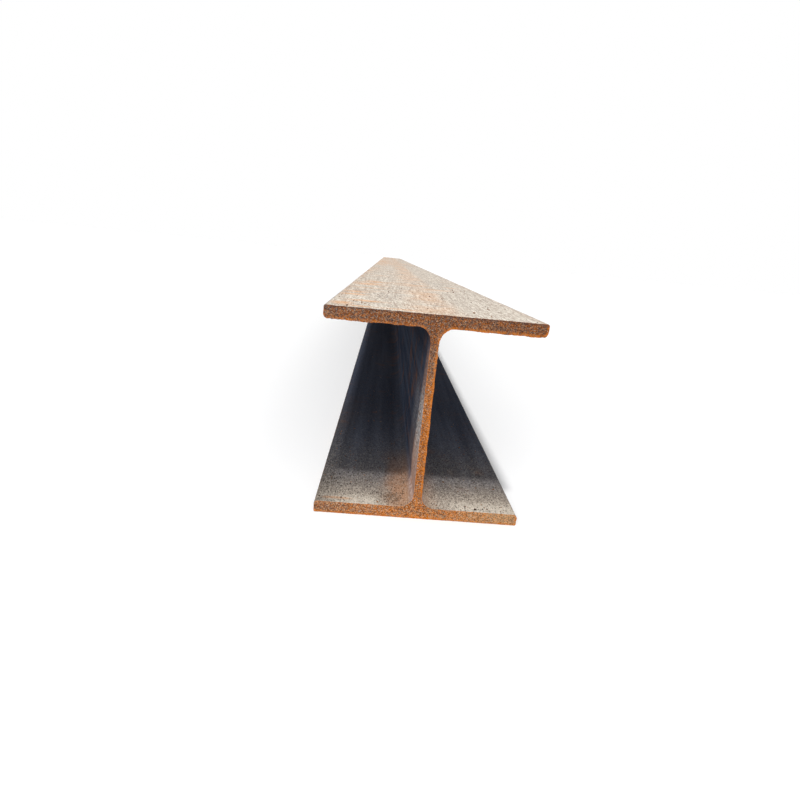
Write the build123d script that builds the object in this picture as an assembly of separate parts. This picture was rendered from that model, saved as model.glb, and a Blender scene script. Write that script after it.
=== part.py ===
"""Hot-rolled steel H-beam: a wide-flange section 200 x 200 x 8 x 12 mm, in a 6 m mill length.

The beam is one rolled piece. It lies on its lower flange with the web upright.
Frame: X runs across the flanges, +Y along the length and +Z up. The origin is the middle
of the lower flange's underside, halfway along the length.
"""

import os

from build123d import *

# Driving dimensions, in millimetres.
LENGTH = 6000.0  # between the two sawn ends
SECTION_HEIGHT = 200.0  # over both flanges
FLANGE_WIDTH = 200.0
FLANGE_THICKNESS = 12.0
WEB_THICKNESS = 8.0
ROOT_RADIUS = 13.0  # hollow fillet where the web runs into a flange
OUTER_TOE_RADIUS = 2.0  # corners along the flange edges, on the outer faces
INNER_TOE_RADIUS = 4.0  # corners along the flange edges, on the faces that look at each other

# Heights that follow from the driving dimensions.
MID_HEIGHT = SECTION_HEIGHT / 2
FLANGE_OFFSET = (SECTION_HEIGHT - FLANGE_THICKNESS) / 2  # from mid-height to the middle of a flange
CLEAR_DEPTH = SECTION_HEIGHT - 2 * FLANGE_THICKNESS  # between the inner faces of the flanges

FOLDER = "parts"


def rolled_section():
    """The section about its own centre: two flanges and a web, with hollow roots and rounded toes."""
    with BuildSketch() as section:
        with Locations((0, FLANGE_OFFSET), (0, -FLANGE_OFFSET)):
            Rectangle(FLANGE_WIDTH, FLANGE_THICKNESS)
        Rectangle(WEB_THICKNESS, CLEAR_DEPTH)
        roots = section.vertices().group_by(lambda corner: abs(corner.X))[0]
        fillet(roots, ROOT_RADIUS)
        outer_toes = section.vertices().group_by(lambda corner: abs(corner.Y))[-1]
        fillet(outer_toes, OUTER_TOE_RADIUS)
        flange_ends = section.vertices().group_by(lambda corner: abs(corner.X))[-1]
        inner_toes = flange_ends.group_by(lambda corner: abs(corner.Y))[0]
        fillet(inner_toes, INNER_TOE_RADIUS)
    return section.sketch


def h_beam():
    """The section drawn out to its length, with the lower flange on z = 0."""
    beam = extrude(Plane.XZ * rolled_section(), LENGTH / 2, both=True)
    return Pos(0, 0, MID_HEIGHT) * beam


def main():
    os.makedirs(FOLDER, exist_ok=True)
    export_step(h_beam(), os.path.join(FOLDER, "h_beam.step"))


main()
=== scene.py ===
"""Looks of the hot-rolled H-beam: rusted sawn ends, dusty upper faces and dark mill scale.

Metres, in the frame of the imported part: X across the flanges, +Y along the length and +Z up.
The near end, which the camera faces, is the one with the lowest Y.
"""

import math
from collections import namedtuple

import bmesh
import bpy
import numpy as np
from mathutils import Matrix, Vector, geometry, noise


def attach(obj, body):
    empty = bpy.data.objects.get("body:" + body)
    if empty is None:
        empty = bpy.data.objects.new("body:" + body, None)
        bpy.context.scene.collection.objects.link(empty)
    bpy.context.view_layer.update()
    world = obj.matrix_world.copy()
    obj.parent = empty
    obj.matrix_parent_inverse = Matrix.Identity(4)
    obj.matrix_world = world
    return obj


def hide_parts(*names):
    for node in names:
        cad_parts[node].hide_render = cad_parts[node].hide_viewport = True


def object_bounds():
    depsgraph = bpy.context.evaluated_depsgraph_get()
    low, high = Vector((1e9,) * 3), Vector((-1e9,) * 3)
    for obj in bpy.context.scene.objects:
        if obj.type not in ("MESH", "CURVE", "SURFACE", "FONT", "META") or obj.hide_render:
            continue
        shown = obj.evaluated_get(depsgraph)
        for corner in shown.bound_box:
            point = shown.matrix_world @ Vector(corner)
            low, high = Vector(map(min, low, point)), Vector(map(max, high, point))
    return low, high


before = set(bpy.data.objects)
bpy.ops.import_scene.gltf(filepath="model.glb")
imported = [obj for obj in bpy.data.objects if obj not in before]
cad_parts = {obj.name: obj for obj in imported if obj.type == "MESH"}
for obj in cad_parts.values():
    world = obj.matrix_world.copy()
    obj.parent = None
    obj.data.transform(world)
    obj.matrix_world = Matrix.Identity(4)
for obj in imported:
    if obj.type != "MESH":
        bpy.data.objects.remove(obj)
CAD_LOW, CAD_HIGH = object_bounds()

# The rolled section, as in the solid.
WIDTH = CAD_HIGH.x - CAD_LOW.x
HEIGHT = CAD_HIGH.z - CAD_LOW.z
NEAR_END = CAD_LOW.y
FAR_END = CAD_HIGH.y
FLANGE = 0.012  # thickness of a flange
WEB = 0.008  # thickness of the web
ROOT = 0.013  # radius where the web runs into a flange
OUTER_TOE = 0.002  # radius along the flange edges, on the outer faces
INNER_TOE = 0.004  # the same on the faces that look at each other

# How finely the skin is drawn.
THINNING = 4  # round the section, one point in this many goes on past the end zones
CUT_GRID = 0.00125  # spacing of the points on a sawn end
CUT_JITTER = 0.35  # how far a point strays from that grid, as a share of the spacing
RIM_GAP = 0.7 * CUT_GRID  # least distance from a sawn end's outline to a point inside it
FIRST_RING = 0.0006  # from a cut to the ring behind it
NEAR_RINGS = 24  # fine rings behind the near cut
NEAR_GROWTH = 1.18  # each gap between them, as a multiple of the one before
FAR_RINGS = 12  # the same at the far cut
FAR_GROWTH = 1.35
MIDDLE_GAP = 0.04  # between rings, away from the ends

MILLIMETRE = 0.001

# Fine relief at the cuts.
SAW_PITCH = 0.0031  # from one mark of the blade to the next
WEAR_REACH = 0.0007  # how far from a cut its edge is worn
BURR_REACH = 0.0012  # how far from a cut the burr is raised
BURR_HEIGHT = 0.75  # of a plain burr, in millimetres


# The skin of the beam.

def straight(start, end, out, count):
    """Points along a straight run, all but its end, each with the way out of the steel."""
    share = np.arange(count)[:, None] / count
    places = np.array(start) + share * (np.array(end) - np.array(start))
    return np.hstack([places, np.tile(out, (count, 1))])


def arc(centre, radius, first, last, count, hollow=False):
    """Points round an arc, between two angles in degrees, each with the way out of the steel."""
    angle = np.radians(first + (last - first) * np.arange(count) / count)
    ray = np.stack([np.cos(angle), np.sin(angle)], axis=1)
    return np.hstack([np.array(centre) + radius * ray, -ray if hollow else ray])


def quarter_section():
    """The lower right quarter, from the middle of the underside to the middle of the web.

    The last number of each run is how many points it has.
    """
    toe_x = WIDTH / 2 - OUTER_TOE
    inner_x = WIDTH / 2 - INNER_TOE
    inner_z = FLANGE - INNER_TOE
    root_x = WEB / 2 + ROOT
    root_z = FLANGE + ROOT
    return np.vstack([
        straight((0, 0), (toe_x, 0), (0, -1), 80),
        arc((toe_x, OUTER_TOE), OUTER_TOE, -90, 0, 6),
        straight((WIDTH / 2, OUTER_TOE), (WIDTH / 2, inner_z), (1, 0), 8),
        arc((inner_x, inner_z), INNER_TOE, 0, 90, 10),
        straight((inner_x, FLANGE), (root_x, FLANGE), (0, 1), 64),
        arc((root_x, root_z), ROOT, -90, -180, 16, hollow=True),
        straight((WEB / 2, root_z), (WEB / 2, HEIGHT / 2), (1, 0), 60),
        [(WEB / 2, HEIGHT / 2, 1, 0)],
    ])


def whole_section():
    """The outline in rows of x, z and the way out, anticlockwise as the camera sees it."""
    low_right = quarter_section()
    high_right = low_right * (1, -1, 1, -1) + (0, HEIGHT, 0, 0)
    low_left = low_right * (-1, 1, -1, 1)
    high_left = high_right * (-1, 1, -1, 1)
    return np.vstack([low_right[:-1], high_right[:0:-1], high_left[:-1], low_left[:0:-1]])


def ripple(places, size, seed):
    """Smooth random heights, mostly from -0.6 to 0.6, with humps about this big."""
    shift = Vector((17.3, -9.1, 5.7)) * seed
    return np.array([noise.noise(Vector(place) / size + shift) for place in places])


def cut_relief(x, z, seed):
    """How far a sawn face stands out at each point: blade marks, a slow sweep, rust grains and pits."""
    places = np.stack([x, z, np.zeros(len(x))], axis=1)
    across_marks = 0.82 * x + 0.57 * z  # the marks run aslant
    wander = ripple(places, 0.03, seed + 1)
    marks = np.sin(across_marks * 2 * math.pi / SAW_PITCH + 4 * wander)
    grains = ripple(places, 0.0024, seed + 2)
    pits = np.minimum(ripple(places, 0.0045, seed + 3) + 0.22, 0)
    return MILLIMETRE * (0.05 * marks + 0.18 * wander + 0.26 * grains + 0.5 * pits)


def burr_side(outs):
    """How much of the saw's burr a face has: all if it looks down, less if right, none if up or left."""
    return np.clip(0.7 * outs[:, 0] - outs[:, 1], 0, 1)


def skin_relief(places, outs, from_cut, seed):
    """How far the rolled skin stands out: slow waves, scale, and a worn edge and burr at the cut."""
    waves = 0.2 * ripple(places * (1, 0.25, 1), 0.05, seed + 4)
    scale = 0.09 * ripple(places, 0.005, seed + 5)
    ragged = ripple(places * (1, 0, 1), 0.0019, seed + 6)
    lumps = ripple(places * (1, 0, 1), 0.009, seed + 7)
    wear = -(0.05 + 0.35 * np.abs(ragged) + 0.25 * np.abs(lumps)) * np.exp(-from_cut / WEAR_REACH)
    lip = np.clip(0.3 + 0.8 * ragged + 1.1 * lumps, 0, 1.4)
    burr = BURR_HEIGHT * burr_side(outs) * lip * np.exp(-from_cut / BURR_REACH)
    on_floor = (places[:, 2] < OUTER_TOE) & (outs[:, 1] < -0.5)
    burr[on_floor] = 0
    return MILLIMETRE * (waves + scale + wear + burr)


def ring_points(section, y, from_cut, seed):
    """The points of one ring of the skin, at a distance from the nearest cut."""
    places = np.stack([section[:, 0], np.full(len(section), y), section[:, 1]], axis=1)
    out = skin_relief(places, section[:, 2:], np.full(len(section), from_cut), seed)
    places[:, 0] += out * section[:, 2]
    places[:, 2] = np.maximum(places[:, 2] + out * section[:, 3], CAD_LOW.z)
    return places


def ring_distances(count, growth):
    """Distances of the rings from a cut, each gap longer than the one before."""
    return np.concatenate([[0], np.cumsum(FIRST_RING * growth ** np.arange(count))])


def past_corner(across, up, radius):
    """Whether a point lies beyond an arc, from how far it is past the arc's centre each way."""
    return (across > 0) & (up > 0) & (np.hypot(across, up) > radius)


def inside_section(x, z):
    """Whether a point of the cut face lies in the steel."""
    from_middle = np.abs(x)
    depth = np.minimum(z, HEIGHT - z)
    to_root = WEB / 2 + ROOT - from_middle
    over_root = FLANGE + ROOT - depth
    flange = (from_middle < WIDTH / 2) & (depth < FLANGE)
    to_edge = WIDTH / 2 - from_middle
    flange &= ~past_corner(OUTER_TOE - to_edge, OUTER_TOE - depth, OUTER_TOE)
    flange &= ~past_corner(INNER_TOE - to_edge, INNER_TOE - (FLANGE - depth), INNER_TOE)
    web = from_middle < WEB / 2
    root = past_corner(to_root, over_root, ROOT)
    return (depth > 0) & (flange | web | root)


def cut_points(section, seed):
    """Points spread over a sawn face inside its outline, with their distance from the burred edges."""
    draw = np.random.default_rng(seed)
    x, z = np.meshgrid(
        np.arange(-WIDTH / 2, WIDTH / 2, CUT_GRID), np.arange(0, HEIGHT, CUT_GRID)
    )
    x = x.ravel() + draw.uniform(-CUT_JITTER, CUT_JITTER, x.size) * CUT_GRID
    z = z.ravel() + draw.uniform(-CUT_JITTER, CUT_JITTER, z.size) * CUT_GRID
    inside = inside_section(x, z)
    x, z = x[inside], z[inside]
    apart = np.hypot(x[:, None] - section[:, 0], z[:, None] - section[:, 1])
    kept = apart.min(axis=1) > RIM_GAP
    burred = burr_side(section[:, 2:]) > 0.3
    return x[kept], z[kept], apart[kept][:, burred].min(axis=1)


# A ring of the skin: the number of its first point, its place along the length and its finishes.
Ring = namedtuple("Ring", "start y finish")


class Skin:
    """Collects the beam's points, faces and the place of each face corner on the bake map."""

    def __init__(self):
        self.blocks = []
        self.faces = []
        self.corners = []
        self.materials = []
        self.count = 0

    def add_points(self, places):
        """Adds points, and gives the number of the first one."""
        first = self.count
        self.blocks.append(places)
        self.count += len(places)
        return first

    def add_faces(self, faces, corners, material):
        """Adds faces, with each corner's place on the map and one finish or one for each face."""
        self.faces += faces.tolist()
        self.corners.append(corners.reshape(-1, 2))
        self.materials += np.broadcast_to(material, len(faces)).tolist()


ROLLED, UPPER, SAWN = 0, 1, 2  # the finishes: rolled skin, the upper flange's upper face and the cuts


def finish_of(section):
    """The finish of the skin after each point of the section."""
    flat_up = section[:, 3] > 0.99
    return np.where(flat_up & (section[:, 1] > HEIGHT / 2), UPPER, ROLLED)


# The bake map is a square of side 1, with the cuts along its foot and the rolled skin above them.
END_ZONE = 0.35  # length of skin at the near end that has a sheet to itself
HALF_WAY = NEAR_END + END_ZONE + (FAR_END - NEAR_END - END_ZONE) / 2
MAP_GAP = 0.006
CUT_MAP = 0.24  # side of a sawn face's square
END_MAP = 0.25  # height of the near end zone's sheet


def sheets_on_map():
    """The three sheets of rolled skin: lowest and highest corner, and range along the beam."""
    low = CUT_MAP + MAP_GAP
    break_at = low + END_MAP
    return [
        ((0.0, low), (1.0, break_at), (NEAR_END, NEAR_END + END_ZONE)),
        ((0.0, break_at + MAP_GAP), (0.5 - MAP_GAP / 2, 1.0), (NEAR_END + END_ZONE, HALF_WAY)),
        ((0.5 + MAP_GAP / 2, break_at + MAP_GAP), (1.0, 1.0), (HALF_WAY, FAR_END)),
    ]


def on_sheet(around, y, sheet):
    """Map places for shares of the way round the section and places along the length."""
    low, high, (first, last) = sheet
    along = np.clip((y - first) / (last - first), 0, 1)
    return np.stack([
        low[0] + around * (high[0] - low[0]),
        low[1] + along * (high[1] - low[1]),
    ], axis=-1)


def sheet_for(y):
    """The sheet that a place along the length is on."""
    sheets = sheets_on_map()
    return next((s for s in sheets if s[2][0] - 1e-9 <= y < s[2][1] - 1e-9), sheets[-1])


def band(skin, first, second):
    """Faces between two rings with as many points each."""
    count = len(first.finish)
    here = np.arange(count)
    after = (here + 1) % count
    faces = np.stack([
        first.start + here, second.start + here, second.start + after, first.start + after,
    ], axis=1)
    around = np.stack([here, here, here + 1, here + 1], axis=1) / count
    y = np.broadcast_to([first.y, second.y, second.y, first.y], faces.shape)
    skin.add_faces(faces, on_sheet(around, y, sheet_for(first.y)), first.finish)


def thinning_band(skin, fine, coarse):
    """Triangles between a fine ring and a coarse one, which keeps one of its points in THINNING."""
    count = len(coarse.finish)
    total = count * THINNING
    half = THINNING // 2
    here = np.arange(count)
    for step in range(THINNING):
        near = here * THINNING + step
        owner = here if step < half else here + 1
        faces = np.stack([
            fine.start + near, coarse.start + owner % count, fine.start + (near + 1) % total,
        ], axis=1)
        around = np.stack([near / total, owner / count, (near + 1) / total], axis=1)
        add_turned(skin, faces, around, [fine.y, coarse.y, fine.y], fine.finish[near])
    middle = here * THINNING + half
    faces = np.stack([
        fine.start + middle, coarse.start + here, coarse.start + (here + 1) % count,
    ], axis=1)
    around = np.stack([middle / total, here / count, (here + 1) / count], axis=1)
    add_turned(skin, faces, around, [fine.y, coarse.y, coarse.y], coarse.finish)


def add_turned(skin, faces, around, y, finish):
    """Adds triangles, turned over where the fine ring lies beyond the coarse one."""
    order = [0, 1, 2] if y[1] > y[0] else [0, 2, 1]
    y = np.broadcast_to(y, faces.shape)
    corners = on_sheet(around[:, order], y[:, order], sheet_for(y.min()))
    skin.add_faces(faces[:, order], corners, finish)


def sawn_face(skin, section, rim_ring, end, map_left, seed):
    """A sawn end: triangles over the section, joined to the skin's first ring."""
    x, z, apart = cut_points(section, seed)
    outward = -1 if end == NEAR_END else 1
    y = end + outward * cut_relief(x, z, seed)
    first = skin.add_points(np.stack([x, y, z], axis=1))
    flat = np.vstack([section[:, :2], np.stack([x, z], axis=1)])
    number = np.concatenate([rim_ring + np.arange(len(section)), first + np.arange(len(x))])
    rim = list(range(len(section)))
    made = geometry.delaunay_2d_cdt(
        [Vector(place) for place in flat], [], [rim], 1, 1e-7
    )
    source = np.array([found[0] for found in made[3]])
    triangles = source[np.array(made[2])]
    if outward > 0:
        triangles = triangles[:, ::-1]
    margin = MAP_GAP / 2
    side = CUT_MAP - MAP_GAP
    spots = (flat + (WIDTH / 2, 0)) / max(WIDTH, HEIGHT) * side + (map_left + margin, margin)
    skin.add_faces(number[triangles], spots[triangles], SAWN)
    return first, apart


def beam_skin():
    """The beam's whole surface as one closed mesh, finest at the near end."""
    section = whole_section()
    thin = section[::THINNING]
    near = ring_distances(NEAR_RINGS, NEAR_GROWTH)
    far = ring_distances(FAR_RINGS, FAR_GROWTH)[::-1]
    length = FAR_END - NEAR_END
    steps = round((length - near[-1] - far[0]) / MIDDLE_GAP)
    middle = np.linspace(near[-1], length - far[0], steps + 1)[1:-1]
    middle[np.abs(middle - END_ZONE).argmin()] = END_ZONE
    middle[np.abs(middle - (HALF_WAY - NEAR_END)).argmin()] = HALF_WAY - NEAR_END
    stations = [(d, d, section) for d in near]
    stations += [(d, min(d, length - d), thin) for d in middle]
    stations += [(length - d, d, section) for d in far]

    skin = Skin()
    rings = []
    for along, from_cut, outline in stations:
        places = ring_points(outline, NEAR_END + along, from_cut, seed=1)
        if from_cut == 0:
            outward = -1 if along == 0 else 1
            places[:, 1] += outward * cut_relief(outline[:, 0], outline[:, 1], 10 + outward)
        rings.append(Ring(skin.add_points(places), NEAR_END + along, finish_of(outline)))
    for first, second in zip(rings, rings[1:]):
        if len(first.finish) == len(second.finish):
            band(skin, first, second)
        elif len(first.finish) > len(second.finish):
            thinning_band(skin, first, second)
        else:
            thinning_band(skin, second, first)
    near_cut = sawn_face(skin, section, rings[0].start, NEAR_END, 0.0, seed=9)
    far_cut = sawn_face(skin, section, rings[-1].start, FAR_END, CUT_MAP + MAP_GAP, seed=11)
    return skin, [near_cut, far_cut]


def beam_object(name):
    """The beam as a mesh object, with its bake map, sharp cut edges and distances from the burr."""
    skin, cuts = beam_skin()
    mesh = bpy.data.meshes.new(name)
    mesh.from_pydata(np.vstack(skin.blocks).tolist(), [], skin.faces)
    layer = mesh.uv_layers.new(name="OFBake")
    layer.data.foreach_set("uv", np.vstack(skin.corners).astype(np.float32).ravel())
    mesh.polygons.foreach_set("material_index", np.array(skin.materials, np.int32))
    mesh.polygons.foreach_set("use_smooth", np.ones(len(skin.faces), bool))
    from_burr = np.zeros(skin.count, np.float32)
    for first, apart in cuts:
        from_burr[first:first + len(apart)] = apart
    mesh.attributes.new("from_burr", "FLOAT", "POINT").data.foreach_set("value", from_burr)
    mesh.update()
    solid = bmesh.new()
    solid.from_mesh(mesh)
    for edge in solid.edges:
        edge.smooth = len({face.material_index == SAWN for face in edge.link_faces}) == 1
    solid.to_mesh(mesh)
    solid.free()
    beam = bpy.data.objects.new(name, mesh)
    bpy.context.scene.collection.objects.link(beam)
    return beam


# Rust crumbs and grit that lie on the upward faces.

CRUMBS = 2000
CRUMB_RADII = (0.25, 1.5)  # smallest and largest, in millimetres
CRUMB_MARGIN = 0.004  # kept clear along the edges and the cuts
BY_CUT = 0.45  # length of the stretch behind the near cut that has more of them
SHARE_BY_CUT = 0.3  # of the crumbs, put in that stretch
SHARE_ON_TOP = 0.3  # the others lie on the lower flange
SEATED = 0.55  # height of a crumb's middle over the face, as a share of its half height


def crumb_shape():
    """A rough pebble: the twelve points and twenty faces of an icosahedron of radius 1."""
    pebble = bmesh.new()
    bmesh.ops.create_icosphere(pebble, subdivisions=1, radius=1.0)
    points = np.array([point.co for point in pebble.verts])
    faces = np.array([[point.index for point in face.verts] for face in pebble.faces])
    pebble.free()
    return points, faces


def crumb_places(draw):
    """Where the crumbs lie on the upper face and on the lower flange, thickest behind the near cut."""
    length = FAR_END - NEAR_END
    outer = WIDTH / 2 - CRUMB_MARGIN
    inner = WEB / 2 + ROOT
    near = draw.random(CRUMBS) < SHARE_BY_CUT
    along = np.where(near, BY_CUT * draw.random(CRUMBS) ** 1.6, length * draw.random(CRUMBS))
    y = NEAR_END + np.clip(along, CRUMB_MARGIN, length - CRUMB_MARGIN)
    on_top = draw.random(CRUMBS) < SHARE_ON_TOP
    top_x = draw.uniform(-1, 1, CRUMBS) * outer
    side = np.where(draw.random(CRUMBS) < 0.5, -1, 1)
    low_x = side * (inner + (outer - inner) * draw.random(CRUMBS) ** 1.3)
    x = np.where(on_top, top_x, low_x)
    z = np.where(on_top, HEIGHT, FLANGE)
    return np.stack([x, y, z], axis=1)


def rust_crumbs(name):
    """All the crumbs as one joined mesh, each squashed, roughened, turned and seated."""
    draw = np.random.default_rng(21)
    points, faces = crumb_shape()
    seats = crumb_places(draw)
    size = MILLIMETRE * np.exp(draw.normal(-0.75, 0.4, CRUMBS)).clip(*CRUMB_RADII)
    squash = draw.uniform(0.35, 0.75, CRUMBS)
    turn = draw.uniform(0, 2 * math.pi, CRUMBS)
    shape = points * (1 + draw.uniform(-0.28, 0.28, (CRUMBS, len(points), 1)))
    sides = np.stack([np.ones(CRUMBS), draw.uniform(0.6, 1, CRUMBS), squash], axis=1)
    shape = shape * sides[:, None]
    cos, sin = np.cos(turn)[:, None], np.sin(turn)[:, None]
    turned = np.stack([
        cos * shape[..., 0] - sin * shape[..., 1],
        sin * shape[..., 0] + cos * shape[..., 1],
        shape[..., 2],
    ], axis=2)
    seats[:, 2] += SEATED * squash * size
    places = seats[:, None] + turned * size[:, None, None]
    every = faces[None] + len(points) * np.arange(CRUMBS)[:, None, None]
    mesh = bpy.data.meshes.new(name)
    mesh.from_pydata(places.reshape(-1, 3).tolist(), [], every.reshape(-1, 3).tolist())
    mesh.update()
    crumbs = bpy.data.objects.new(name, mesh)
    bpy.context.scene.collection.objects.link(crumbs)
    return crumbs


# Finishes.

def tint(red, green, blue):
    """A colour given as it looks on a screen, from 0 to 255, as the light that a shader works with."""
    def light(level):
        share = level / 255
        return share / 12.92 if share <= 0.04045 else ((share + 0.055) / 1.055) ** 2.4
    return (light(red), light(green), light(blue), 1.0)


class Signal:
    """A socket of a node tree. Sums and products of signals add the Math nodes that work them out."""

    def __init__(self, tree, socket=None):
        self.tree = tree
        self.socket = socket

    def node(self, kind, settings=None, sockets=None, output=0):
        """Adds any node: its type, what is set on it first, and the values or links of its sockets."""
        made = self.tree.nodes.new("ShaderNode" + kind)
        for name, value in (settings or {}).items():
            setattr(made, name, value)
        for name, value in (sockets or {}).items():
            if isinstance(value, Signal):
                self.tree.links.new(value.socket, made.inputs[name])
            else:
                made.inputs[name].default_value = value
        return Signal(self.tree, made.outputs[output] if made.outputs else None)

    def math(self, operation, *values):
        """Adds a Math node."""
        return self.node("Math", {"operation": operation}, dict(enumerate(values)))

    def __add__(self, other):
        return self.math("ADD", self, other)

    def __radd__(self, other):
        return self.math("ADD", other, self)

    def __sub__(self, other):
        return self.math("SUBTRACT", self, other)

    def __rsub__(self, other):
        return self.math("SUBTRACT", other, self)

    def __mul__(self, other):
        return self.math("MULTIPLY", self, other)

    def __rmul__(self, other):
        return self.math("MULTIPLY", other, self)

    def most(self, other):
        """The larger of two."""
        return self.math("MAXIMUM", self, other)

    def least(self, other):
        """The smaller of two."""
        return self.math("MINIMUM", self, other)

    def size(self):
        """The number without its sign."""
        return self.math("ABSOLUTE", self)

    def rise(self, low, high):
        """0 below low and 1 above high, with a smooth step between. With low over high, it falls."""
        if low > high:
            return 1 - self.rise(high, low)
        limits = {"Value": self, "From Min": low, "From Max": high}
        return self.node("MapRange", {"interpolation_type": "SMOOTHSTEP"}, limits)

    def blend(self, under, over):
        """A colour: under where this signal is 0, over where it is 1."""
        return self.node("Mix", {"data_type": "RGBA"}, {0: self, 6: under, 7: over}, 2)

    def parts(self):
        """The three numbers of a vector."""
        return [self.node("SeparateXYZ", None, {0: self}, axis) for axis in range(3)]

    def stretched(self, x, y, z):
        """A place with its axes scaled, so that a pattern on it is drawn out along the small ones."""
        return self.node("VectorMath", {"operation": "MULTIPLY"}, {0: self, 1: (x, y, z)})

    def apart(self, spot):
        """How far a place is from one spot."""
        return self.node("VectorMath", {"operation": "DISTANCE"}, {0: self, 1: spot}, "Value")

    def smear(self, x, along, half_x, half_along):
        """0 in the middle of a patch, 1 at its rim and more outside. Along is from the near cut."""
        spot = (x / half_x, (NEAR_END + along) / half_along, 0)
        return self.stretched(1 / half_x, 1 / half_along, 0).apart(spot)

    def mottle(self, size, seed, detail=2.0, roughness=0.55):
        """Cloudy variation about 0.5 at a place, with clouds about this big."""
        sockets = {"Vector": self, "W": seed, "Scale": 1 / size, "Detail": detail, "Roughness": roughness}
        return self.node("TexNoise", {"noise_dimensions": "4D"}, sockets)

    def grains(self, size):
        """Three random numbers, from 0 to 1, for the grain at a place, with grains about this big."""
        return self.node("TexVoronoi", None, {"Vector": self, "Scale": 1 / size}, "Color").parts()

    def pips(self, size, share):
        """1 in the middle of this share of the grains and 0 elsewhere, with grains about this big."""
        from_middle = self.node("TexVoronoi", None, {"Vector": self, "Scale": 1 / size}, "Distance")
        return from_middle.rise(0.46, 0.16) * self.grains(size)[0].rise(share + 0.05, share - 0.05)


def new_finish(name):
    """An empty material, the signal that its nodes start from, and the place on the beam."""
    material = bpy.data.materials.new(name)
    material.use_nodes = True
    material.node_tree.nodes.clear()
    start = Signal(material.node_tree)
    place = start.node("TexCoord", None, None, "Object")
    return material, start, place


def complete(start, sockets):
    """Puts the finish on the surface."""
    shader = start.node("BsdfPrincipled", None, sockets)
    start.node("OutputMaterial", None, {"Surface": shader})


def raised(start, height, depth):
    """A bump of this depth, in metres, for the Normal socket."""
    return start.node("Bump", None, {"Strength": 1.0, "Distance": depth, "Height": height})


# What the coats of a cut share: the place, how high it is, and clouds and grains of rust.
CutSpot = namedtuple("CutSpot", "x z upper downward foot clouds patches grit shade hue chance blotch")


def spot_on_cut(place):
    """The shared signals at a place on a cut."""
    x, _, z = place.parts()
    shade, hue, chance = place.grains(0.00072)
    return CutSpot(
        x=x,
        z=z,
        upper=z.rise(HEIGHT - 0.065, HEIGHT - 0.025),
        downward=z.rise(HEIGHT * 0.8, HEIGHT * 0.5),
        foot=z.rise(0.045, 0.006),
        clouds=place.mottle(0.035, 1.0),
        patches=place.mottle(0.009, 2.0, 3.0),
        grit=place.mottle(0.0026, 3.0, 2.0, 0.6),
        shade=shade,
        hue=hue,
        chance=chance,
        blotch=place.grains(0.0019)[0],
    )


def brown_and_orange(at):
    """Brown rust with orange in it, paler at the lower right and greyer at the lower left."""
    brown = at.upper.blend(at.foot.blend(tint(134, 106, 90), tint(172, 138, 114)), tint(104, 83, 75))
    orange = at.upper.blend(at.foot.blend(tint(184, 103, 34), tint(224, 124, 38)), tint(154, 81, 20))
    orange_share = at.patches * 0.6 + at.grit * 0.8 + at.hue * 0.4 + at.blotch * 0.5 + at.clouds * 0.3
    orange_share = orange_share + at.downward * 0.16 - 1.07
    colour = orange_share.rise(0.0, 0.5).blend(brown, orange)
    lower = at.z.rise(0.03, 0.01)
    right = at.x.rise(0.01, 0.09) * lower
    left = at.x.rise(-0.01, -0.09) * lower
    colour = (right * 0.65).blend(colour, tint(206, 176, 134))
    colour = (left * 0.72).blend(colour, tint(122, 97, 85))
    joint = at.x.size().rise(0.04, 0.012) * at.z.rise(0.045, 0.02) * at.z.rise(0.001, 0.008)
    colour = (joint * 0.5 * at.blotch.rise(0.9, 0.2)).blend(colour, tint(110, 78, 60))
    return (joint * 0.15).blend(colour, tint(110, 78, 60))


def single_grains(at, colour):
    """Grains of rust that stand out: dark, pale, bright orange, ashen, and a few nearly white."""
    dark = at.upper.blend(tint(74, 48, 28), tint(54, 38, 28))
    colour = (at.shade.rise(0.55, 0.08) * 0.74).blend(colour, dark)
    pale = at.upper.blend(at.foot.blend(tint(226, 166, 112), tint(244, 190, 136)), tint(184, 140, 102))
    colour = (at.shade.rise(0.58, 0.95) * 0.68).blend(colour, pale)
    ember_share = 0.25 + 0.55 * at.downward - 0.3 * at.foot
    colour = (at.chance.rise(0.86, 0.9) * ember_share).blend(colour, tint(238, 136, 40))
    ash = at.upper.blend(tint(190, 178, 164), tint(134, 126, 120))
    ash_share = 0.3 + 0.25 * at.upper - 0.4 * (at.upper * at.x.rise(-0.03, 0.05))
    colour = (at.chance.rise(0.12, 0.08) * ash_share).blend(colour, ash)
    white_share = 0.8 - 0.35 * at.upper
    return (at.chance.rise(0.02, 0.01) * white_share).blend(colour, tint(222, 204, 188))


def sawn_rust():
    """The cut ends: granular rust, brown at the top, orange lower down and brightest along the burr."""
    material, start, place = new_finish("sawn_rust")
    at = spot_on_cut(place)
    grain = place.mottle(0.0012, 4.0, 2.0, 0.6)
    colour = single_grains(at, brown_and_orange(at))

    # A bright lip along the burr, fainter at the upper left, and a dark top edge.
    from_burr = start.node("Attribute", {"attribute_name": "from_burr"}, None, "Fac")
    fainter = 0.5 * at.upper * at.x.rise(0.03, -0.03)
    lip = from_burr.rise(0.0032, 0.0007) * at.grit.rise(0.32, 0.56) * (1 - fainter)
    colour = (lip * 0.7).blend(colour, tint(228, 130, 40))
    top_edge = at.z.rise(HEIGHT - 0.0028, HEIGHT - 0.001) * at.grit.rise(0.38, 0.56)
    colour = (top_edge * 0.55).blend(colour, tint(72, 58, 58))

    complete(start, {
        "Base Color": colour,
        "Roughness": 0.92,
        "Normal": raised(start, grain * 0.6 + at.grit * 0.6, 0.0006),
        "Specular IOR Level": 0.2,
    })
    return material


# What the coats of the rolled skin share: the place, how it lies, and clouds and grains of dirt.
SkinSpot = namedtuple("SkinSpot", (
    "place x z up edge from_cut weather clouds patches grain runs shade hue"
))


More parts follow.
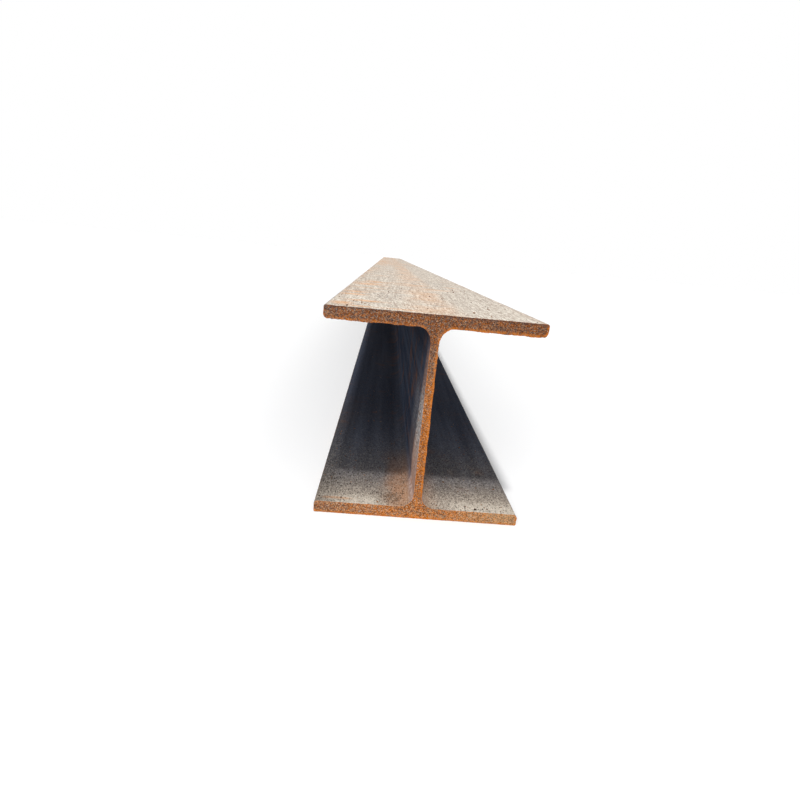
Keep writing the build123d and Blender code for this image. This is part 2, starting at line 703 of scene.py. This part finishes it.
def spot_on_skin(start, place):
    """The shared signals at a place on the rolled skin."""
    x, y, z = place.parts()
    facing = start.node("NewGeometry", None, None, "Normal").parts()
    up = facing[2].rise(0.25, 0.85)
    shade, hue, _ = place.stretched(1, 0.4, 1).grains(0.0008)
    return SkinSpot(
        place=place,
        x=x,
        z=z,
        up=up,
        edge=x.size().rise(WIDTH / 2 - 0.004, WIDTH / 2 - 0.001) * (1 - up),
        from_cut=(y - NEAR_END).least(FAR_END - y),
        weather=place.stretched(1, 0.3, 1).mottle(0.22, 1.0, 3.0),
        clouds=place.mottle(0.06, 2.0, 3.0),
        patches=place.mottle(0.018, 3.0, 3.0, 0.6),
        grain=place.mottle(0.0022, 4.0, 3.0, 0.65),
        runs=place.stretched(1, 1, 0.12).mottle(0.014, 6.0, 3.0),
        shade=shade,
        hue=hue,
    )


def scale_and_rust(at):
    """Blue-grey mill scale with haze, rust patches and rusty edges, and the share of the patches."""
    drawn = at.place.stretched(1, 0.03, 1).mottle(0.012, 7.0, 2.0)
    scale = (drawn * 0.5 + at.grain * 0.5).rise(0.34, 0.66)
    colour = scale.blend(tint(50, 59, 77), tint(92, 100, 117))
    haze = (at.clouds * 0.6 + at.runs * 0.4 + at.weather * 0.5 - 0.45).rise(0.25, 0.65)
    colour = (haze * 0.4).blend(colour, tint(112, 92, 80))
    beside_web = at.x.size().rise(WEB / 2 + ROOT * 2.4, WEB / 2 + ROOT * 0.7)
    rust = at.patches * 0.5 + at.clouds * 0.3 + at.weather * 0.3 + beside_web * 0.05
    rust = rust.rise(0.58, 0.74)
    colour = (rust * 0.6).blend(colour, tint(146, 98, 64))
    edge_rust = at.runs.rise(0.42, 0.64).blend(tint(100, 80, 66), tint(166, 106, 58))
    return (at.edge * 0.85).blend(colour, edge_rust), rust


def dust_and_light_on_flange(at, colour, rust):
    """Dust on the lower flange, palest by the cut, with painted light behind it, a stain and a dark patch
    beside the web.
    """
    # Painted light: a lighter grey behind the cut that fades over 0.2 m into the channel.
    colour = (at.up * at.from_cut.rise(0.2, 0.06) * 0.5).blend(colour, tint(104, 101, 99))
    dust = at.shade.blend(tint(140, 127, 114), tint(190, 178, 162))
    dust = (at.from_cut.rise(0.012, 0.065) * 0.68).blend(dust, tint(116, 103, 90))
    dusty = at.up * (0.14 + 0.8 * at.from_cut.rise(0.1, 0.004))
    dusty = dusty * (0.5 + at.clouds * 0.5 + at.weather * 0.5) * (1 - rust * 0.5)
    colour = dusty.blend(colour, dust)
    from_root = at.x.size() + (at.clouds - 0.5) * 0.04 + (at.patches - 0.5) * 0.03
    stain = at.up * from_root.rise(0.039, 0.016) * at.from_cut.rise(0.17, 0.02)
    stain = stain * at.x.rise(0.03, -0.01) * (0.35 + at.patches * 0.6)
    colour = stain.blend(colour, tint(178, 128, 90))
    # A dark patch on the lower flange beside the web, close behind the cut.
    from_dark_patch = at.place.apart((-0.026, NEAR_END + 0.018, FLANGE)) + (at.patches - 0.5) * 0.025
    dark_patch = at.up * from_dark_patch.rise(0.016, 0.003) * at.hue.rise(1.1, 0.3)
    colour = (dark_patch * 0.65).blend(colour, tint(84, 72, 60))
    swept = at.up * at.x.size().rise(0.026, 0.044) * at.from_cut.rise(0.026, 0.008)
    # Painted shadow: the pale strip is held back along the outer left edge.
    swept = swept * (1 - 0.5 * at.x.rise(-0.055, -0.085)) * (0.35 + at.hue * 0.35)
    colour = swept.blend(colour, tint(218, 207, 191))
    trickle = at.place.smear(-0.08, 0.009, 0.02, 0.004) + (at.patches - 0.5) * 1.5
    return (at.up * trickle.rise(1.1, 0.4) * 0.5).blend(colour, tint(204, 146, 96))


def dust_and_light_on_web(at, colour):
    """Dust on the web and painted light: a pale strip behind the cut, widest at its foot, and a haze past
    it.
    """
    grain_shade, grain_hue, _ = at.place.stretched(1, 0.35, 1).grains(0.0016)
    inward = at.from_cut + at.z * 0.34 + at.z.rise(0.045, 0.01) * 0.022
    inward = inward + (at.clouds - 0.5) * 0.014 + (at.runs - 0.5) * 0.01
    # Partly dust and partly painted light: the strip ends where the upper flange's shadow edge would
    # fall, widening towards the foot.
    dust_and_lit_strip = inward.rise(0.084, 0.068) * at.z.rise(0.18, 0.155)
    haze = inward.rise(0.165, 0.11) * at.z.rise(0.15, 0.1)
    web_dust_and_light = (1 - at.up) * (1 - at.edge) * (dust_and_lit_strip * 0.72 + haze * 0.2)
    dust = grain_shade.blend(tint(112, 104, 101), tint(255, 252, 250))
    dust = (grain_hue.rise(0.6, 0.9) * 0.5).blend(dust, tint(206, 146, 104))
    dust = (at.z.rise(0.108, 0.14) * 0.7).blend(dust, tint(156, 108, 88))
    dust = (at.z.rise(0.085, 0.05) * 0.6).blend(dust, tint(214, 164, 138))
    return web_dust_and_light.blend(colour, dust)


def grit_on_flange(at, colour):
    """Dark and pale grit on the lower flange, thickest in one patch near its left edge."""
    dots = at.place.stretched(1, 0.4, 1).mottle(0.002, 10.0, 2.0, 0.5)
    pips = at.place.stretched(1, 0.45, 1).pips(0.0022, 0.5)
    gritty = at.up * (0.2 + 0.8 * at.from_cut.rise(0.25, 0.05))
    peppered = at.place.smear(-0.07, 0.055, 0.035, 0.025).rise(1.5, 0.4)
    colour = (gritty * at.shade.rise(0.5, 0.08) * 0.2).blend(colour, tint(40, 35, 32))
    colour = (gritty * pips * (0.62 + 0.33 * peppered)).blend(colour, tint(34, 29, 26))
    colour = (gritty * at.shade.rise(0.58, 0.95) * 0.14).blend(colour, tint(226, 216, 202))
    return (at.up * dots.rise(0.6, 0.68) * 0.55).blend(colour, tint(62, 55, 50))


def rolled_scale():
    """The rolled skin: dark mill scale, rust at roots, edges and runs, dust on the lower flange, and
    painted light and shade.
    """
    material, start, place = new_finish("rolled_scale")
    at = spot_on_skin(start, place)
    specks = place.mottle(0.0036, 5.0, 2.0, 0.5)
    colour, rust = scale_and_rust(at)
    colour = dust_and_light_on_flange(at, colour, rust)
    colour = dust_and_light_on_web(at, colour)

    # Painted shade: darker and bluer deep inside the channel, and a painted shadow along the lower
    # flange's left edge.
    painted_deep_shade = at.up * at.from_cut.rise(0.09, 0.35)
    colour = (painted_deep_shade * 0.55).blend(colour, tint(36, 44, 60))
    # Painted shadow along the lower flange's outer left edge, near the cut.
    painted_edge_shadow = at.up * at.x.rise(-0.066, -0.1) * at.from_cut.rise(0.5, 0.2)
    colour = (painted_edge_shadow * 0.5).blend(colour, tint(62, 58, 55))
    colour = grit_on_flange(at, colour)
    colour = (at.up * specks.rise(0.66, 0.72) * 0.75).blend(colour, tint(80, 60, 50))

    complete(start, {
        "Base Color": colour,
        "Roughness": 0.8,
        "Normal": raised(start, at.grain * 0.5 + at.patches * 0.6 + specks * 0.4, 0.0005),
        "Specular IOR Level": 0.0,
    })
    return material


# Rust smears on the upper face: place across, place from the near cut, and half their size each way.
RUST_SMEARS = (
    (-0.083, 0.178, 0.018, 0.014),
    (-0.081, 0.136, 0.018, 0.012),
    (-0.065, 0.067, 0.024, 0.010),
    (-0.087, 0.030, 0.013, 0.018),
    (-0.070, 0.012, 0.018, 0.007),
    (-0.072, 0.345, 0.028, 0.028),
    (-0.030, 0.014, 0.030, 0.006),
)


def dust_on_top(place, from_cut):
    """Pale dust on the upper face: grains and dots, with lines and bands farther back."""
    back = from_cut.rise(0.03, 0.2)
    far_back = from_cut.rise(0.25, 0.8)
    shade = place.stretched(1, 0.12, 1).grains(0.001)[0]
    line_shade = place.stretched(1, 0.06, 1).grains(0.0018)[0]
    bands = place.stretched(1, 0.2, 1).mottle(0.007, 10.0, 3.0, 0.6)
    pips = place.stretched(1, 0.08, 1).pips(0.0026, 0.5)
    streaks = place.stretched(1, 0.3, 1).mottle(0.006, 8.0, 3.0, 0.6)
    dust = shade.rise(0.0, 0.5).blend(tint(158, 138, 122), tint(190, 180, 164))
    dust = shade.rise(0.5, 1.0).blend(dust, tint(222, 213, 199))
    dust = (streaks.rise(0.5, 0.36) * 0.22).blend(dust, tint(156, 138, 122))
    dust = (streaks.rise(0.54, 0.68) * 0.25).blend(dust, tint(226, 218, 203))
    dust = (back * line_shade.rise(0.45, 0.0) * 0.5).blend(dust, tint(140, 120, 104))
    dust = (back * line_shade.rise(0.55, 1.0) * 0.35).blend(dust, tint(240, 231, 217))
    dust = (pips * 0.3).blend(dust, tint(126, 104, 88))
    dust = (far_back * bands.rise(0.48, 0.38) * 0.3).blend(dust, tint(146, 130, 117))
    return (far_back * bands.rise(0.52, 0.62) * 0.22).blend(dust, tint(236, 228, 215))


def rust_on_top(place, x, from_cut, weather, spots, clouds, grain):
    """The share of light rust on the upper face: bars across, the smears, and a stain over the web."""
    bars = place.stretched(0.22, 1, 1).mottle(0.022, 11.0, 3.0, 0.6)
    rust = (spots * 0.25 + bars * 0.5 + weather * 0.3 + x * -0.5).rise(0.52, 0.64)
    rust = rust * from_cut.rise(0.02, 0.5)
    for smear in RUST_SMEARS:
        rim = place.smear(*smear) + (spots - 0.5) * 1.2 + (grain - 0.5)
        rust = rust.most(rim.rise(1.4, 0.1))
    over_web = x.rise(-0.04, 0.0) * x.rise(0.035, 0.012)
    long_stain = over_web * (clouds * 0.7 + spots * 0.7).rise(0.5, 0.9)
    return rust.most(long_stain * 0.7) * (0.25 + grain * 0.6)


def dusty_top():
    """The upper flange's upper face: pale dust over scale, with light rust patches and dark specks."""
    material, start, place = new_finish("dusty_top")
    x, y, _ = place.parts()
    from_cut = y - NEAR_END
    weather = place.stretched(1, 0.3, 1).mottle(0.22, 1.0, 3.0)
    clouds = place.mottle(0.06, 2.0, 3.0)
    spots = place.mottle(0.032, 3.0, 2.0)
    grain = place.mottle(0.0022, 4.0, 3.0, 0.65)
    specks = place.stretched(1, 0.3, 1).mottle(0.0026, 5.0, 2.0, 0.5)
    wiped = place.stretched(1, 0.5, 1).mottle(0.07, 7.0, 4.0, 0.6)

    # Scale that shows where the dust is wiped, rust, and brown along the two edges.
    bare_share = 0.08 + grain * 0.3 + from_cut.rise(0.25, 0.8) * 0.22
    bare = (wiped * 0.6 + weather * 0.4).rise(0.5, 0.66) * bare_share
    colour = bare.blend(dust_on_top(place, from_cut), tint(134, 126, 120))
    rust = rust_on_top(place, x, from_cut, weather, spots, clouds, grain)
    colour = rust.blend(colour, tint(218, 154, 92))
    arris = x.size().rise(WIDTH / 2 - 0.012, WIDTH / 2 - 0.002) * clouds.rise(0.35, 0.65)
    colour = (arris * 0.5).blend(colour, tint(150, 110, 80))

    # Dark specks, more of them in one patch behind the cut.
    crowd = (place.smear(-0.047, 0.14, 0.03, 0.07) + (spots - 0.5)).rise(1.1, 0.4)
    dark = (specks + crowd * 0.04).rise(0.61, 0.67) * (0.4 + 0.45 * crowd)
    colour = dark.blend(colour, tint(78, 64, 62))

    complete(start, {
        "Base Color": colour,
        "Roughness": 0.62 + 0.2 * rust,
        "Normal": raised(start, grain * 0.5 + specks * 0.5, 0.0004),
        "Specular IOR Level": 0.4,
    })
    return material


def crumb_rust():
    """Loose crumbs: dark rust, some of it orange or dusty."""
    material, start, place = new_finish("crumb_rust")
    kind = place.mottle(0.011, 1.0)
    grain = place.mottle(0.0008, 2.0, 3.0)
    colour = kind.rise(0.4, 0.62).blend(tint(66, 48, 38), tint(150, 104, 66))
    colour = kind.rise(0.6, 0.7).blend(colour, tint(186, 170, 150))
    colour = (grain.rise(0.5, 0.35) * 0.5).blend(colour, tint(40, 30, 26))
    complete(start, {
        "Base Color": colour,
        "Roughness": 0.95,
        "Normal": raised(start, grain, 0.0003),
        "Specular IOR Level": 0.2,
    })
    return material


# The studio: pale floor, white surround, soft light and the camera.

def seen_directly(start):
    """1 for rays from the camera and for those that metal or glass sends on, else 0."""
    names = ("Is Camera Ray", "Is Glossy Ray", "Is Transmission Ray")
    seen, glossy, through = [start.node("LightPath", None, None, name) for name in names]
    return seen.most(glossy).most(through)


def pale_floor():
    """A matt floor that looks pale, and throws back less light than it seems to."""
    material, start, _ = new_finish("pale_floor")
    colour = seen_directly(start).blend((0.26, 0.26, 0.26, 1), (0.92, 0.92, 0.92, 1))
    complete(start, {"Base Color": colour, "Roughness": 1.0, "Specular IOR Level": 0.0})
    return material


def floor():
    """A wide level floor under the beam."""
    half_side = 40.0
    signs = ((-1, -1), (1, -1), (1, 1), (-1, 1))
    corners = [(x * half_side, y * half_side, CAD_LOW.z) for x, y in signs]
    mesh = bpy.data.meshes.new("studio_floor")
    mesh.from_pydata(corners, [], [(0, 1, 2, 3)])
    mesh.materials.append(pale_floor())
    ground = bpy.data.objects.new("studio_floor", mesh)
    bpy.context.scene.collection.objects.link(ground)


def surround():
    """White to the camera, and a soft grey dome, brighter overhead, to the beam."""
    world = bpy.data.worlds.new("studio")
    bpy.context.scene.world = world
    world.use_nodes = True
    world.node_tree.nodes.clear()
    start = Signal(world.node_tree)
    height = start.node("TexCoord", None, None, "Generated").parts()[2]
    dome = height.rise(-0.1, 0.9).blend((0.13, 0.135, 0.15, 1), (0.6, 0.6, 0.6, 1))
    colour = seen_directly(start).blend(dome, (1, 1, 1, 1))
    sky = start.node("Background", None, {"Color": colour, "Strength": 1.0})
    start.node("OutputWorld", None, {"Surface": sky})


def aim(lamp, place, target):
    """Puts a lamp at a place, shining at a target."""
    lamp.location = place
    lamp.rotation_euler = (Vector(target) - Vector(place)).to_track_quat("-Z", "Y").to_euler()


def new_lamp(name, kind, energy):
    """A lamp of a kind and strength, not aimed yet."""
    lamp = bpy.data.objects.new(name, bpy.data.lights.new(name, kind))
    lamp.data.energy = energy
    bpy.context.scene.collection.objects.link(lamp)
    return lamp


def soft_box(name, energy, side, place, target):
    """A square lamp with sides this long, which the camera doesn't see."""
    box = new_lamp(name, "AREA", energy)
    box.data.size = side
    box.visible_camera = False
    aim(box, place, target)


def lamps():
    """A high key light over the viewer, soft boxes before the near end and a weak light from behind."""
    key = new_lamp("key_light", "SUN", 1.95)
    key.data.angle = math.radians(5)
    aim(key, (-0.06, NEAR_END - 0.43, 1.0), (0, NEAR_END, 0))
    soft_box("fill_box", 1.45, 0.3, (-0.34, NEAR_END - 0.5, 0.42), (-0.02, NEAR_END + 0.02, 0.09))
    soft_box("front_box", 1.4, 0.5, (-0.1, NEAR_END - 1.2, 0.3), (0, NEAR_END, 0.1))
    back = new_lamp("back_light", "SUN", 0.5)
    back.data.angle = math.radians(30)
    aim(back, (1.0, 1.4, 1.2), (0, 0, 0))


# The camera stands before the near end. Angles are degrees about its own axes.
PHOTO_SIDE = 800  # in pixels
FOCUS_PIXELS = 507.2  # focal length, in pixels of the photo
SENSOR = 36.0  # width of the sensor, in millimetres
CAMERA_PLACE = (-0.0476, NEAR_END - 0.4462, 0.2471)
TILT_DOWN, TURN, ROLL = 15.95, -2.67, 4.73


def camera():
    """The camera at the photo's viewing angle."""
    lens = bpy.data.cameras.new("camera")
    lens.sensor_width = SENSOR
    lens.lens = SENSOR * FOCUS_PIXELS / PHOTO_SIDE
    lens.clip_start = 0.02
    level = Matrix(((1, 0, 0), (0, 0, -1), (0, 1, 0)))  # right, down and ahead, looking along +Y
    turned = Matrix.Rotation(math.radians(ROLL), 3, "Z")
    turned = turned @ Matrix.Rotation(math.radians(TURN), 3, "Y")
    turned = turned @ Matrix.Rotation(math.radians(TILT_DOWN), 3, "X")
    right, down, ahead = turned @ level
    axes = Matrix((right, -down, -ahead)).transposed()
    eye = bpy.data.objects.new("camera", lens)
    eye.matrix_world = Matrix.Translation(CAMERA_PLACE) @ axes.to_4x4()
    bpy.context.scene.collection.objects.link(eye)
    bpy.context.scene.camera = eye


# Putting it together.

beam = beam_object("h_beam_skin")
beam.data.materials.append(rolled_scale())
beam.data.materials.append(dusty_top())
beam.data.materials.append(sawn_rust())
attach(beam, "root")
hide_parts("h_beam")

crumbs = rust_crumbs("rust_crumbs")
crumbs.data.materials.append(crumb_rust())
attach(crumbs, "root")

floor()
surround()
lamps()
camera()
bpy.context.scene.view_settings.view_transform = "Standard"
